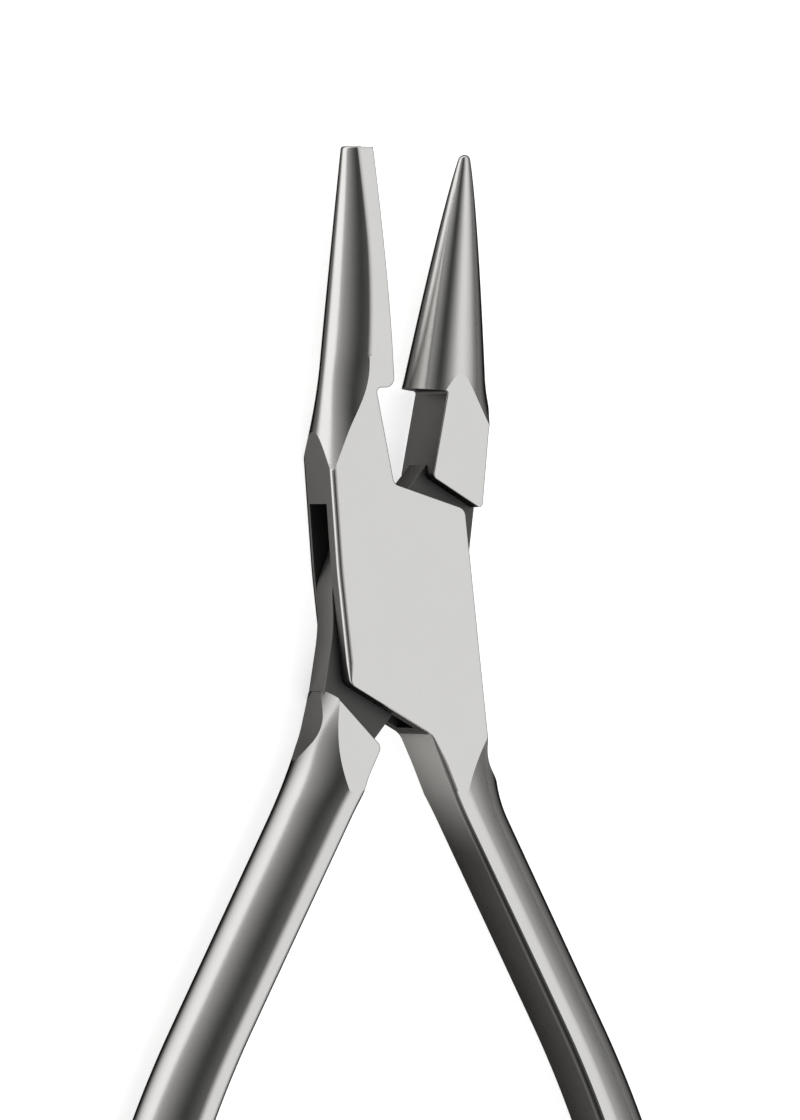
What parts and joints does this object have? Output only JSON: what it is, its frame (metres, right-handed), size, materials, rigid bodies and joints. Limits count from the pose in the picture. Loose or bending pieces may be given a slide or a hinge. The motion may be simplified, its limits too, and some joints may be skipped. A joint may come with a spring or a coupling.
{
  "type": "optical pliers",
  "caption": "Hand pliers with a box joint, one blunt half-round jaw with a hollow grip face, one pointed round jaw and long bowed handles.",
  "frame": {"origin": "centre of the pin's end face, flush in the joint's rear ground face, on the pivot axis", "axes": "+Z from the rear to the front ground face along the pivot axis, +Y towards the jaws, +X to the right seen from the front"},
  "size_m": [0.0749, 0.1399, 0.008],
  "materials": {
    "outer_steel": "satin-polished stainless steel",
    "inner_steel": "satin-polished stainless steel",
    "pin_steel": "ground stainless steel"
  },
  "bodies": {
    "outer": {"outer_half": "outer_steel", "joint_pin": "pin_steel"},
    "inner": {"inner_half": "inner_steel"}
  },
  "joints": [
    {"name": "box_joint", "type": "hinge", "parent": "outer", "child": "inner", "pos_m": [0, 0, 0.004], "axis": [0, 0, 1], "range_deg": [-16, 12]}
  ]
}
